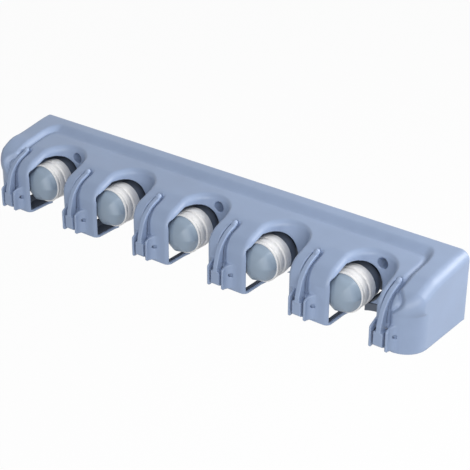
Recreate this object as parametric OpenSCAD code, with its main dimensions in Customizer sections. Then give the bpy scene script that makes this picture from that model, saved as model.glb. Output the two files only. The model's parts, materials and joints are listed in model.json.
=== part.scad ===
// Wall rack for mops and brooms: a hollow moulding with five handle notches, five gripping
// rollers that climb a slanted track, and six fold-down hooks.
// Heights are counted from the rack's lower edge, depths from the wall towards the front.
// The finished model is lowered so that the middle screw hole on the wall is the origin.
// +X is to the right seen from the front, -Y is the front, +Z is up.

/* [Rack] */
// Number of handle notches
stations = 5; // [2:1:8]
// Distance from one notch to the next
station_pitch = 75; // [66:1:100]
// From the first notch's centre to the left end
left_reach = 62.4; // [56:0.5:90]
// From the last notch's centre to the right end
right_reach = 53.4; // [48:0.2:90]
// Height at the wall
body_h = 56.6; // [55:0.2:62]
// Depth from the wall to the fingers' front
body_depth = 70.8; // [70:0.5:80]
// Wall thickness of the moulding
wall_t = 2.2; // [1.8:0.1:2.8]
// Extra depth of the raised ends
cap_proud = 1; // [0.5:0.1:1]
// Height of the raised ends above the hood
cap_lift = 2.1; // [1:0.1:2.5]
// Width of the slope up to a raised end
cap_slope_w = 4.5; // [3:0.5:6]
// How far the foot of that slope drifts outwards over the bend
cap_drift = 7; // [0:0.5:8]
// Width of the raised left end
left_cap_w = 19.5; // [14:0.5:20]
// Width of the raised right end
right_cap_w = 22; // [16:0.5:22]
// How far the left end leans in at the front
left_lean = 3; // [0:0.5:5]
// How far the right end leans in at the front
right_lean = 0.5; // [0:0.5:5]
// Radius of the front corners seen from above
plan_r = 18; // [10:1:20]
// Radius of the upper left edge
left_edge_r = 2; // [1:0.5:8]
// Radius of the upper right edge
right_edge_r = 8; // [1:0.5:9]

/* [Hood] */
// Width of the raised rim along the wall
rim_w = 6.5; // [4:0.5:9]
// Width of the slope from the rim to the panel
rim_slope_w = 6; // [3:0.5:8]
// Depth of the panel below the rim
panel_drop = 3.1; // [1:0.1:3.5]
// Fall of the panel from its back to the bend
panel_fall = 4; // [2:0.5:5]
// Depth at which the panel bends down
hood_bend_depth = 46; // [42:1:48]
// Slope of the hood in front of the bend
hood_angle = 19.2; // [16:0.5:22]
// Radius from the hood into the front
front_bend_r = 15; // [12:0.5:18]

/* [Notches] */
// Width of a handle notch
notch_w = 38.6; // [34:0.2:42]
// Distance from the wall to the notch's back
notch_back = 31.2; // [30:0.2:34]
// Radius of a finger's right front edge
finger_edge_r = 5; // [2:0.5:6]
// Radius of a finger's left front edge
finger_left_r = 1.5; // [0.5:0.5:2]
// Height of the strip below a roller window
window_sill = 2.2; // [2:0.2:4]
// Width of the strip in front of a roller window
window_front = 2.4; // [2.2:0.1:4]
// Height of the strip between the window and the hood's top
window_strip = 5.4; // [5:0.1:5.6]
// Radius of the window's upper front corner
window_corner_r = 4; // [2:0.5:6]
// How far up the track the round part of a window is centred
window_shift = 2; // [1:0.5:4]
// Gap between the round part of a window and a roller
window_clear = 1.1; // [0.6:0.1:1.5]
// Height of the raised lower edge of a notch's back
relief_h = 7; // [4:0.2:7.2]
// Half width of that raised edge
relief_half_w = 11.5; // [8:0.5:14]

/* [Screw holes] */
// Notches from one screw hole to the next
screw_every = 2; // [1:1:2]
// Height of the screw holes
screw_h = 42.3; // [39:0.1:44]
// Diameter of the wall screws' holes
screw_hole_d = 4.6; // [4:0.1:5]
// Diameter of the recess for the screw's head
head_hole_d = 8.8; // [8:0.1:9.5]
// Wall thickness of the tube round the recess
tube_wall = 1.8; // [1.4:0.1:2.2]
// Thickness of the tube's floor at the wall
tube_floor = 4; // [2:0.5:6]

/* [Hooks] */
// From the first notch's centre to the first hook
first_hook_back = 37; // [36.8:0.1:42]
// From the last notch's centre to the last hook
last_hook_ahead = 26.9; // [26.9:0.1:28]
// From a notch's centre to the hook on its left
hook_back = 42.5; // [38:0.1:46]
// Clear width between a hook's two ears
ear_gap = 11.6; // [10:0.2:13]
// Thickness of an ear
ear_t = 1.8; // [1.2:0.1:2.2]
// How far the ears stand out from the front
ear_reach = 7.8; // [7:0.2:9]
// Height of the ears' front edge
ear_h = 19.9; // [18:0.1:22]
// Height of the ears' lower edge
ear_low = 2.1; // [1:0.1:2.4]
// Cut of the ears' front corners
ear_corner = 1.2; // [0.4:0.1:2]
// Rise of the ears' upper edge from their front to the rack's front
ear_rise = 3; // [1:0.5:5]
// Radius of the flare from the right ear into the front
ear_flare_r = 6; // [4:0.2:8]
// Radius of the flare from the left ear into the front
ear_left_flare_r = 4.5; // [1:0.5:5]
// Distance of the hook's pin from the front
pin_out = 0.5; // [0.4:0.1:1]
// Height of the hook's pin
pin_h = 13.4; // [13:0.1:14]
// Diameter of the hook's pin
pin_d = 3; // [2.4:0.1:3.2]
// Thickness of the hook round its pin
pin_wall = 1.4; // [1:0.1:1.6]
// How far the pin's ends lie inside the ears
pin_inset = 0.6; // [0.2:0.1:0.8]
// Width of the hook's root block
root_w = 7.6; // [6:0.2:9]
// Height of the root block's lower side
root_low = 4.3; // [4.2:0.1:5]
// Radius of the root block's lower edges
root_round_r = 2.6; // [2:0.1:3]
// Height of the root block's upper side
root_top = 16.6; // [15.6:0.2:18]
// How far the root block stands out from the front
root_out = 7.9; // [6:0.1:8]
// Width of the hook's arm
arm_w = 4; // [3:0.2:5]
// How far the arm stands out above the root
arm_out = 7.5; // [6:0.1:7.6]
// How far the arm stands out where the front bends
arm_out_bend = 4.7; // [3:0.1:5]
// How far the arm stands out on the hood
arm_proud = 0.8; // [0.4:0.1:1.5]
// How far the arm lies sunk in its groove
arm_sunk = 2; // [1.4:0.1:2.4]
// Radius of the round end of the arm
knob_r = 2.3; // [2:0.1:2.6]
// Depth at which the knob lies
knob_depth = 53.5; // [52:0.5:55]
// Height of the knob's centre above the hood
knob_lift = 0.5; // [0.3:0.1:1]
// Depth of the groove behind the arm
groove_depth = 2.8; // [2.6:0.1:3]
// Thickness of the wall behind the groove
groove_wall = 1.4; // [1.2:0.1:1.5]
// Clear width beside the arm in its groove
groove_side = 1.2; // [1:0.1:2]

/* [Rollers] */
// Radius of the roller's grip
grip_r = 16.35; // [15:0.05:16.5]
// Length of the grip
grip_len = 18.2; // [14:0.2:18.6]
// How far the domes' tips lie behind the rack's front
dome_back = 4.4; // [3.5:0.1:6]
// Distance of the roller from the notch's centre at rest
roller_back = 17.1; // [15:0.1:18]
// Height of the roller's axis at rest
roller_h = 22.8; // [22:0.1:24]
// Thickness of the grip's rubber
grip_t = 2.9; // [2:0.1:3.5]
// Number of narrow ribs on the grip
grip_ribs = 2; // [0:1:3]
// Width of a narrow rib
rib_w = 1.8; // [1:0.1:2]
// Depth of the grooves in the grip
rib_depth = 0.8; // [0.3:0.1:1.2]
// Radius of the dome's base
dome_r = 15.2; // [13:0.1:15.5]
// Length of the dome
dome_len = 11.4; // [8:0.2:11.6]
// Fullness of the dome
dome_power = 2.4; // [2:0.1:3]
// Travel of the roller up its track
track_travel = 10.5; // [6:0.5:11]
// Slope of the track
track_angle = 15; // [8:1:16]
// Diameter of the spindle inside the roller
spindle_d = 6; // [5:0.2:8]
// Diameter of the spindle in the track
track_pin_d = 8; // [7:0.2:9]
// Diameter of the spindle's two collars
collar_d = 12; // [11:0.5:14]
// Thickness of a collar
collar_t = 1.8; // [1.2:0.1:2]

/* [Back plate] */
// Length of the rails that guide the spindles
rail_len = 14; // [8:0.5:14.5]
// Thickness of a rail round its slot
rail_t = 1.8; // [1.4:0.1:2.2]
// Thickness of the back plate
plate_t = 2.6; // [2:0.1:3]
// Distance of the back plate from the wall
plate_inset = 5.4; // [5.2:0.1:6.5]
// Height of the back plate's lower edge
plate_low = 5.1; // [4:0.1:6]
// Height of the posts that hold the plate's screws
post_h = 11.4; // [11.3:0.1:12]
// Diameter of a post
post_d = 7; // [6:0.2:8]
// Diameter of a plate screw's thread
plate_screw_d = 3; // [2.4:0.1:3.4]
// Diameter of a plate screw's head
plate_head_d = 5.6; // [5:0.2:6.5]
// Thickness of a plate screw's head
plate_head_t = 1.8; // [1.2:0.1:2.2]
// Length of a plate screw below its head
plate_screw_len = 12; // [8:1:14]
// Thickness of the ledges beside the notches' left walls
ledge_t = 1.4; // [1:0.1:2]
// Height of the ledges' underside
ledge_low = 0.6; // [0.2:0.1:0.8]
// Width of a narrow ledge
ledge_w = 2.6; // [2:0.1:4]
// Width of a wide ledge
wide_ledge_w = 11.6; // [6:0.2:12]
// Number of wide ledges, counted from the left end
wide_ledges = 2; // [0:1:4]
// Distance of the ledges' tips from the front
ledge_back = 4.8; // [3:0.2:8]

/* [Clearances] */
// Gap beside parts that move past each other
move_gap = 0.3; // [0.2:0.05:0.5]
// Gap round a pin or spindle that turns
turn_gap = 0.06; // [0.03:0.01:0.1]
// Gap round a pin that is held fast
hold_gap = 0.02; // [0.01:0.01:0.03]
// Gap round the spindle in its track
track_gap = 0.1; // [0.05:0.01:0.1]
// Gap at the side of a part that turns or slides
side_gap = 0.15; // [0.1:0.05:0.3]
// Gap round the rim of the back plate
plate_gap = 0.3; // [0.1:0.05:0.5]

/* [Hidden] */
$fn = 72;
eps = 0.01;
over = 6;
dome_steps = 14;
bend_steps = 5;
arm_steps = 8;
ear_root = 1;
least_r = 1;
arm_settle_angle = 55;
arm_settle_power = 1.7;
arm_sunk_angle = 38;
arm_sunk_foot = 0.3;
drum_straight = 0.6;
drum_tail = 0.62;

first_x = -station_pitch * floor(stations / 2);
last_x = first_x + station_pitch * (stations - 1);
left_x = first_x - left_reach;
right_x = last_x + right_reach;
length = right_x - left_x;
notch_r = notch_w / 2;
notch_centre_y = -(notch_back + notch_r);
front_y = -body_depth;
cap_front_y = front_y - cap_proud;

panel_back_y = -(rim_w + rim_slope_w);
panel_back_z = body_h - panel_drop;
bend_y = -hood_bend_depth;
bend_z = panel_back_z - panel_fall;
panel_angle = atan(panel_fall / (panel_back_y - bend_y));

// The bend's normal turns from 0, straight ahead, to this angle on the hood
hood_turn = 90 - hood_angle;
bend_centre_y = front_y + front_bend_r;
bend_centre_z = hood_z(bend_centre_y, 0) - front_bend_r / cos(hood_angle);

pin_y = front_y - pin_out;
ear_front_y = front_y - ear_reach;
root_front_y = front_y - root_out;
root_back_y = front_y - move_gap;
root_boss_r = pin_d / 2 + pin_wall;
root_swing = root_round_r
    + norm([root_out - pin_out - root_round_r, pin_h - root_low - root_round_r]);
groove_half = arm_w / 2 + groove_side;
arm_end_y = -knob_depth - knob_r / 4;

plate_back_y = -plate_inset;
plate_front_y = plate_back_y - plate_t;
rail_front_y = plate_front_y - rail_len;
front_collar_y = rail_front_y - side_gap - collar_t;
tube_r = head_hole_d / 2 + tube_wall;

roller_front_y = front_y + dome_back + dome_len;
grip_back_y = roller_front_y + grip_len;
drum_len = front_collar_y - side_gap - grip_back_y;
grip_core_r = grip_r - grip_t;
track_dx = -track_travel * cos(track_angle);
track_dz = track_travel * sin(track_angle);
window_hole_r = grip_r + window_clear + window_shift;
window_hole_dx = roller_back + window_shift * cos(track_angle);
window_hole_z = roller_h + window_shift * sin(track_angle);

function station_x(i) = first_x + i * station_pitch;
function hook_x(i) = i == 0 ? first_x - first_hook_back
    : i == stations ? last_x + last_hook_ahead
    : station_x(i) - hook_back;
function roller_x(i) = station_x(i) - roller_back;
function has_screw(i) = (i % screw_every) == (floor(stations / 2) % screw_every);

// Height of the hood's line at depth y, lowered by inset square to the hood
function hood_z(y, inset) = bend_z + (y - bend_y) * tan(hood_angle) - inset / cos(hood_angle);

// Lays a profile drawn in depth and height along X, from x0 to x1
module along_x(x0, x1) {
    translate([x0, 0, 0])
        rotate([90, 0, 90])
            linear_extrude(x1 - x0)
                children();
}

// Lays a profile drawn in X and height along Y, from y0 to y1
module along_y(y0, y1) {
    translate([0, y1, 0])
        rotate([90, 0, 0])
            linear_extrude(y1 - y0)
                children();
}

// A round bar along Y
module bar_y(x, z, r, y0, y1) {
    translate([x, y1, z])
        rotate([90, 0, 0])
            cylinder(h = y1 - y0, r = r);
}

// A round bar along X
module bar_x(y, z, r, x0, x1) {
    translate([x0, y, z])
        rotate([0, 90, 0])
            cylinder(h = x1 - x0, r = r);
}

// Material outside a rounded corner at the origin, which lies between +X and +Y
module corner_cut(r, out) {
    difference() {
        translate([-out, -out])
            square(r + out);
        translate([r, r])
            circle(r);
    }
}

// Material outside a round corner between the front and the hood, centred at [y, z]
module front_corner(y, z, r) {
    outer_r = r + over;
    difference() {
        polygon([
            [y, z],
            [y - outer_r, z],
            [y - outer_r, z + outer_r],
            [y - outer_r * sin(hood_angle), z + outer_r * cos(hood_angle)]
        ]);
        translate([y, z])
            circle(r);
    }
}

// Side profile of the hood, drawn in by inset and raised by lift; low is its lowest height
module side_profile(inset, lift, front, low, back) {
    drop = inset - lift;
    round_r = front_bend_r - drop;
    front_in = front + inset;
    arc_y = front_in + round_r;
    arc_z = hood_z(arc_y, drop) - round_r / cos(hood_angle);
    difference() {
        polygon([
            [back, low],
            [front_in, low],
            [front_in, hood_z(front_in, drop)],
            [bend_y, bend_z - drop / cos(hood_angle)],
            [panel_back_y, panel_back_z - drop],
            [back, panel_back_z - drop]
        ]);
        front_corner(arc_y, arc_z, round_r);
    }
}

// Side profile of the raised rim along the wall
module rim_profile() {
    polygon([
        [0, 0],
        [panel_back_y, 0],
        [panel_back_y, panel_back_z],
        [-rim_w, body_h],
        [0, body_h]
    ]);
}

// Outline seen from above, drawn in by inset
module plan_outline(inset) {
    corner_r = plan_r - inset;
    front = cap_front_y + inset;
    left_in = left_x + left_lean + inset;
    right_in = right_x - right_lean - inset;
    difference() {
        polygon([
            [left_x + inset, over],
            [left_x + inset, 0],
            [left_in, front + corner_r],
            [left_in, front],
            [right_in, front],
            [right_in, front + corner_r],
            [right_x - inset, 0],
            [right_x - inset, over]
        ]);
        translate([left_in, front])
            corner_cut(corner_r, over);
        translate([right_in, front])
            mirror([1, 0])
                corner_cut(corner_r, over);
    }
}

// Outline seen from the front, with the two rounded upper edges
module front_outline() {
    difference() {
        translate([left_x - over, -over])
            square([length + 2 * over, body_h + over + eps]);
        translate([left_x, body_h])
            mirror([0, 1])
                corner_cut(left_edge_r, over);
        translate([right_x, body_h])
            rotate(180)
                corner_cut(right_edge_r, over);
    }
}

// Section square to the hood of the right end: its top, its rounded edge and,
// with foot above zero, the slope that starts that far in from the end
module end_section(edge_r, foot, inset) {
    top = cap_lift + 5 * eps - inset;
    rise = cap_lift / cap_slope_w;
    inner_x = foot > 0 ? -foot - over : -length - over;
    difference() {
        polygon([
            [inner_x, -body_depth - body_h],
            [inner_x, foot > 0 ? -over * rise : top],
            [foot > 0 ? -foot + top / rise : inner_x + over, top],
            [over, top],
            [over, -body_depth - body_h]
        ]);
        translate([-inset, top])
            rotate(180)
                corner_cut(edge_r - inset, over);
    }
}

// The end section drawn along the hood where its normal has turned by angle turn
module end_prism(edge_r, cap_w, turn, inset) {
    part = 1 - min(turn, hood_turn) / hood_turn;
    drift = cap_drift * sin(180 * part);
    on_panel = turn > hood_turn;
    translate([0, on_panel ? bend_y : bend_centre_y, on_panel ? bend_z : bend_centre_z])
        rotate([90 - turn, 0, 0])
            translate([0, 0, on_panel ? 0 : front_bend_r])
                rotate([90, 0, 0])
                    linear_extrude(2 * (body_depth + body_h), center = true)
                        end_section(edge_r + (plan_r - edge_r) * part,
                            cap_w > 0 ? cap_w - drift : 0, inset);
}

// Room inside the rounded edge of the right end; cap_w is the raised end's width or zero
module end_room(edge_r, cap_w, lean, inset) {
    rotate([0, 0, atan(lean / (body_depth - plan_r))])
        intersection() {
            intersection_for(k = [1:bend_steps])
                end_prism(edge_r, cap_w, k * hood_turn / bend_steps, inset);
            end_prism(edge_r, cap_w, 90 - panel_angle, inset);
        }
}

// Raised right end of width cap_w, with the wall's plane and the end at the origin
module end_cap(edge_r, cap_w, lean) {
    intersection() {
        union() {
            along_x(-cap_w, over)
                side_profile(0, cap_lift, cap_front_y, 0, 0);
            along_x(-cap_w, over)
                rim_profile();
        }
        end_room(edge_r, cap_w, lean, 0);
    }
}

// The solid block that the moulding is hollowed from
module outer_block() {
    intersection() {
        union() {
            along_x(left_x + left_cap_w / 2, right_x - right_cap_w / 2)
                side_profile(0, 0, front_y, 0, 0);
            along_x(left_x + left_cap_w / 2, right_x - right_cap_w / 2)
                rim_profile();
            translate([right_x, 0, 0])
                end_cap(right_edge_r, right_cap_w, right_lean);
            translate([left_x, 0, 0])
                mirror([1, 0, 0])
                    end_cap(left_edge_r, left_cap_w, left_lean);
        }
        translate([0, 0, -over])
            linear_extrude(body_h + 2 * over)
                plan_outline(0);
        along_y(-body_depth - over, over)
            front_outline();
    }
}

// The room inside the moulding, open at the wall and below
module inner_room() {
    intersection() {
        along_x(left_x, right_x)
            side_profile(wall_t, 0, front_y, -over, over);
        translate([0, 0, -over])
            linear_extrude(body_h + 2 * over)
                plan_outline(wall_t);
        translate([right_x, 0, 0])
            end_room(max(right_edge_r, wall_t + least_r), 0, right_lean, wall_t);
        translate([left_x, 0, 0])
            mirror([1, 0, 0])
                end_room(max(left_edge_r, wall_t + least_r), 0, left_lean, wall_t);
    }
}

// Notch seen from above, grown by grow
module notch_plan(i, grow) {
    r = notch_r + grow;
    translate([station_x(i), notch_centre_y]) {
        circle(r);
        translate([-r, front_y - over - notch_centre_y])
            square([2 * r, notch_centre_y - front_y + over]);
    }
}

// All notches, grown by grow
module notches(grow) {
    translate([0, 0, -over - eps])
        linear_extrude(body_h + 2 * over)
            for (i = [0:stations - 1])
                notch_plan(i, grow);
}

// Material outside the rounded front edge of a finger; side is 1 for its right edge
module edge_trim(x, side, r) {
    translate([x, front_y, -over])
        linear_extrude(body_h + 2 * over)
            mirror([side > 0 ? 1 : 0, 0])
                corner_cut(r, 0.2);
}

// Side profile of the window in a finger's right wall
module window_profile(top_z, back) {
    front = front_y + window_front;
    arc_y = front + window_corner_r;
    arc_z = hood_z(arc_y, 0) - window_strip - window_corner_r / cos(hood_angle);
    level_y = bend_y + (top_z + window_strip - bend_z) / tan(hood_angle);
    difference() {
        polygon([
            [back, window_sill],
            [front, window_sill],
            [front, hood_z(front, 0) - window_strip],
            [level_y, top_z],
            [back, top_z]
        ]);
        front_corner(arc_y, arc_z, window_corner_r);
    }
}

// The window in a finger's right wall, with its round part in the notch's back
module roller_window(i) {
    notch_left = station_x(i) - notch_r;
    hole_x = station_x(i) - window_hole_dx;
    reach = max(hole_x - notch_left, eps);
    back = notch_centre_y + sqrt(notch_r * notch_r - pow(notch_r - reach, 2));
    along_x(notch_left - wall_t - over / 2, notch_left + reach)
        window_profile(window_hole_z + window_hole_r, back);
    bar_y(hole_x, window_hole_z, window_hole_r,
        roller_front_y - side_gap - wall_t, -notch_back + wall_t + over / 2);
}

// The gap below the raised lower edge of a notch's back
module back_relief(i) {
    front = notch_centre_y + sqrt(notch_r * notch_r - relief_half_w * relief_half_w) - wall_t;
    translate([station_x(i) - relief_half_w, front, -over])
        cube([2 * relief_half_w, -notch_back + wall_t + over / 2 - front, relief_h + over]);
}

// The tube behind a screw hole, from the notch's back to the wall
module screw_tube(i) {
    bar_y(station_x(i), screw_h, tube_r, -notch_back - notch_r / 4, 0);
}

// The bored recess and the screw hole of one tube
module screw_bore(i) {
    bar_y(station_x(i), screw_h, head_hole_d / 2, front_y, -tube_floor);
    bar_y(station_x(i), screw_h, screw_hole_d / 2, -tube_floor - eps, eps);
}

// A post behind a notch for one plate screw
module plate_post(i) {
    difference() {
        bar_y(station_x(i), post_h, post_d / 2, -notch_back + eps, plate_front_y);
        bar_y(station_x(i), post_h, plate_screw_d / 2 + hold_gap,
            plate_back_y - plate_screw_len - least_r, over);
    }
}

// The channel that a folded hook lies in, grown by grow on the inside
module hook_groove(i, grow) {
    half = groove_half + grow;
    depth = groove_depth + grow;
    intersection() {
        along_x(hook_x(i) - half, hook_x(i) + half)
            difference() {
                translate([front_y - over, ear_h - grow])
                    square([body_depth, body_h - ear_h + grow]);
                side_profile(depth, 0, front_y, 0, 0);
            }
        translate([hook_x(i), -knob_depth, 0])
            linear_extrude(body_h + over) {
                circle(half);
                translate([-half, -body_depth])
                    square([2 * half, body_depth]);
            }
    }
}

// The opening between the ears through which the root block turns
module root_slot(i) {
    half = ear_gap / 2;
    slot_low = pin_h - root_swing - move_gap;
    slot_top = pin_h + root_boss_r + move_gap;
    translate([hook_x(i) - half, front_y - eps, slot_low])
        cube([ear_gap, wall_t + 2 * eps, slot_top - slot_low]);
}

// Side profile of an ear
module ear_profile() {
    polygon([
        [front_y + ear_root, ear_low],
        [ear_front_y + ear_corner, ear_low],
        [ear_front_y, ear_low + ear_corner],
        [ear_front_y, ear_h - ear_corner],
        [ear_front_y + ear_corner, ear_h],
        [front_y, ear_h + ear_rise],
        [front_y + ear_root, ear_h + ear_rise]
    ]);
}

// Plan of one ear with its flare; side is 1 for the right ear
module ear_plan(side, flare_r) {
    inner = ear_gap / 2;
    mirror([side > 0 ? 0 : 1, 0]) {
        translate([inner, ear_front_y])
            square([ear_t, ear_reach + ear_root]);
        if (flare_r > least_r)
            difference() {
                translate([inner + ear_t - eps, max(front_y - flare_r, ear_front_y)])
                    square([flare_r, min(flare_r, ear_reach) + ear_root]);
                translate([inner + ear_t + flare_r, front_y - flare_r])
                    circle(flare_r);
            }
    }
}

// Radius of a hook's left flare, which must stay on its finger
function left_flare(i) = i == 0 ? ear_left_flare_r
    : min(ear_left_flare_r,
        hook_x(i) - ear_gap / 2 - ear_t - station_x(i - 1) - notch_r - finger_left_r);

// Radius of a hook's right flare, which must stay on its finger
function right_flare(i) = i == stations ? ear_flare_r
    : min(ear_flare_r,
        station_x(i) - notch_r - finger_edge_r - hook_x(i) - ear_gap / 2 - ear_t);

// Both ears of one hook
module ears(i) {
    intersection() {
        translate([hook_x(i), 0, -over])
            linear_extrude(body_h) {
                ear_plan(1, right_flare(i));
                ear_plan(-1, left_flare(i));
            }
        along_x(hook_x(i) - station_pitch / 2, hook_x(i) + station_pitch / 2)
            ear_profile();
    }
}

// How far from an ear's face the pin's axis comes out of a flare of radius r
function flare_exit(r) = r > least_r ? r - sqrt(r * r - pow(r - pin_out, 2)) : least_r;

// The hole through both ears for the hook's pin
module ear_bore(i) {
    ear_out = ear_gap / 2 + ear_t;
    bar_x(pin_y, pin_h, pin_d / 2 + hold_gap,
        hook_x(i) - ear_out - flare_exit(left_flare(i)),
        hook_x(i) + ear_out + flare_exit(right_flare(i)));
}

// The moulding before its openings are cut
module housing_shell() {
    difference() {
        outer_block();
        difference() {
            inner_room();
            notches(wall_t);
            for (i = [0:stations])
                hook_groove(i, groove_wall);
            for (i = [0:stations - 1])
                if (has_screw(i))
                    screw_tube(i);
        }
        for (i = [0:stations - 1]) {
            edge_trim(station_x(i) - notch_r, 1, finger_edge_r);
            edge_trim(station_x(i) + notch_r, -1, finger_left_r);
        }
    }
}

// One-piece moulded housing
module housing() {
    color([0.62, 0.68, 0.78])
        difference() {
            union() {
                housing_shell();
                for (i = [0:stations])
                    ears(i);
                for (i = [0:stations - 1])
                    plate_post(i);
            }
            notches(0);
            for (i = [0:stations - 1]) {
                roller_window(i);
                back_relief(i);
                if (has_screw(i))
                    screw_bore(i);
            }
            for (i = [0:stations]) {
                hook_groove(i, 0);
                root_slot(i);
                ear_bore(i);
            }
        }
}

// Obround bar of radius r along a roller's slanted track, from depth y0 to y1
module track_bar(i, r, y0, y1) {
    along_y(y0, y1)
        translate([roller_x(i), roller_h])
            rotate(180 - track_angle) {
                circle(r);
                translate([track_travel, 0])
                    circle(r);
                translate([0, -r])
                    square([track_travel, 2 * r]);
            }
}

// A ledge of the back plate inside a finger, along the notch's left wall
module plate_ledge(i) {
    w = i < wide_ledges ? wide_ledge_w : ledge_w;
    x = station_x(i) - notch_r - wall_t - plate_gap - w;
    tip_y = front_y + ledge_back;
    translate([x, tip_y, ledge_low])
        cube([w, plate_back_y - tip_y, ledge_t]);
    translate([x, plate_front_y, ledge_low])
        cube([w, plate_t, plate_low + plate_t - ledge_low]);
}

// Tongue of the back plate that closes the gap below the last notch's back
module plate_tongue(i) {
    half = relief_half_w - plate_gap;
    top = relief_h - plate_gap;
    translate([station_x(i), 0, ledge_low]) {
        linear_extrude(top - ledge_low)
            intersection() {
                difference() {
                    translate([0, notch_centre_y])
                        circle(notch_r + wall_t);
                    translate([0, notch_centre_y])
                        circle(notch_r);
                }
                translate([-half, notch_centre_y])
                    square([2 * half, -notch_centre_y]);
            }
        for (x = [-half, half - wall_t])
            translate([x, -notch_back - wall_t / 2, 0])
                cube([wall_t, notch_back + wall_t / 2 + plate_back_y, top - ledge_low]);
    }
}

// Plate that closes the back and carries the slanted tracks
module back_plate() {
    top = panel_back_z - wall_t - plate_gap;
    inset = wall_t + plate_gap;
    slot_r = track_pin_d / 2 + track_gap;
    color([0.2, 0.22, 0.26])
        difference() {
            union() {
                translate([left_x + inset, plate_front_y, plate_low])
                    cube([length - 2 * inset, plate_t, top - plate_low]);
                for (i = [0:stations - 1]) {
                    track_bar(i, slot_r + rail_t, rail_front_y, plate_front_y + eps);
                    plate_ledge(i);
                }
                plate_tongue(stations - 1);
            }
            for (i = [0:stations - 1]) {
                track_bar(i, slot_r, rail_front_y - over, over);
                bar_y(station_x(i), post_h, plate_screw_d / 2 + plate_gap, plate_front_y - eps, over);
                if (has_screw(i))
                    bar_y(station_x(i), screw_h, tube_r + plate_gap, plate_front_y - eps, over);
            }
        }
}

// Small screws that hold the back plate, one in each post
module plate_screws() {
    color([0.75, 0.75, 0.77])
        for (i = [0:stations - 1]) {
            bar_y(station_x(i), post_h, plate_screw_d / 2,
                plate_back_y - plate_screw_len, plate_back_y);
            difference() {
                bar_y(station_x(i), post_h, plate_head_d / 2,
                    plate_back_y, plate_back_y + plate_head_t);
                screw_cross(station_x(i), post_h, plate_back_y + plate_head_t);
            }
        }
}

// The cross recess in a plate screw's head
module screw_cross(x, z, y) {
    bar = plate_head_d * 0.55;
    slit = 0.7;
    depth = plate_head_t / 2;
    translate([x, y - depth / 2 + eps, z]) {
        cube([bar, depth, slit], center = true);
        cube([slit, depth, bar], center = true);
    }
}

// How far the arm stands out, and how far it is sunk, where the bend's normal has turned by a
function arm_front(a) = arm_proud
    + (arm_out_bend - arm_proud) * pow(max(0, 1 - a / arm_settle_angle), arm_settle_power);
function arm_back(a) = arm_sunk * (arm_sunk_foot + (1 - arm_sunk_foot) * min(1, a / arm_sunk_angle));

// A point at angle a of the bend, at distance r from its centre
function bend_point(a, r) = [bend_centre_y - r * cos(a), bend_centre_z + r * sin(a)];

// Side profile of a hook's arm, from the root block to the knob
module arm_profile() {
    angles = [for (k = [0:arm_steps]) k * hood_turn / arm_steps];
    polygon(concat(
        [[root_back_y, root_top - least_r], [root_back_y, ear_h + groove_depth]],
        [for (a = angles) bend_point(a, front_bend_r - arm_back(a))],
        [[arm_end_y, hood_z(arm_end_y, arm_sunk)]],
        [[arm_end_y, hood_z(arm_end_y, -arm_proud)]],
        [for (k = [arm_steps:-1:0]) bend_point(angles[k], front_bend_r + arm_front(angles[k]))],
        [[front_y - arm_out, root_top + arm_out / 2], [root_front_y, root_top - least_r]]
    ));
}

// Side profile of the root block, with its lower edges rounded and a boss round the pin
module root_profile() {
    difference() {
        translate([root_front_y, root_low])
            square([root_back_y - root_front_y, root_top - root_low]);
        translate([root_front_y, root_low])
            corner_cut(root_round_r, eps);
        translate([root_back_y, root_low])
            mirror([1, 0])
                corner_cut(root_round_r, eps);
    }
    translate([pin_y, pin_h])
        circle(root_boss_r);
}

// A fold-down hook, shown folded up against the front
module hook(i) {
    x = hook_x(i);
    color([0.62, 0.68, 0.78])
        difference() {
            union() {
                along_x(x - root_w / 2, x + root_w / 2)
                    root_profile();
                along_x(x - arm_w / 2, x + arm_w / 2)
                    arm_profile();
                bar_x(-knob_depth, hood_z(-knob_depth, -knob_lift), knob_r, x - knob_r, x + knob_r);
            }
            bar_x(pin_y, pin_h, pin_d / 2 + turn_gap, x - root_w, x + root_w);
        }
}

// The steel pin of one hook, held by its ears
module hook_pin(i) {
    half = ear_gap / 2 + ear_t - pin_inset;
    color([0.75, 0.76, 0.78])
        bar_x(pin_y, pin_h, pin_d / 2, hook_x(i) - half, hook_x(i) + half);
}

// Turns a profile of radius and distance from the roller's front edge about the roller's axis
module about_roller(i) {
    translate([roller_x(i), roller_front_y, roller_h])
        rotate([-90, 0, 0])
            rotate_extrude()
                children();
}

// Domed front cap of a roller
module roller_cap(i) {
    bore_deep = dome_len / 2;
    color([0.55, 0.62, 0.7])
        about_roller(i)
            difference() {
                polygon(concat(
                    [[0, 0]],
                    [for (k = [0:dome_steps])
                        let (t = sin(90 * k / dome_steps))
                        [dome_r * pow(1 - pow(t, dome_power), 1 / dome_power), -dome_len * t]]
                ));
                translate([-over, -bore_deep])
                    square([spindle_d / 2 + turn_gap + over, bore_deep + over]);
            }
}

// Soft ribbed grip ring of a roller
module roller_grip(i) {
    groove_w = rib_w / 2;
    color([0.92, 0.92, 0.9])
        about_roller(i)
            difference() {
                translate([grip_core_r, 0])
                    square([grip_t, grip_len]);
                for (k = [0:grip_ribs])
                    translate([grip_r - rib_depth, rib_w * 0.75 + k * (rib_w + groove_w)])
                        square([rib_depth + over, groove_w]);
            }
}

// Core and drum of a roller, which carries the grip and turns on the spindle
module roller_drum(i) {
    tail_r = dome_r * drum_tail;
    color([0.42, 0.46, 0.53])
        about_roller(i)
            polygon([
                [spindle_d / 2 + turn_gap, 0],
                [grip_core_r - hold_gap, 0],
                [grip_core_r - hold_gap, grip_len + hold_gap],
                [dome_r, grip_len + hold_gap],
                [dome_r, grip_len + drum_len * drum_straight],
                [tail_r, grip_len + drum_len],
                [spindle_d / 2 + turn_gap, grip_len + drum_len]
            ]);
}

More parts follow.
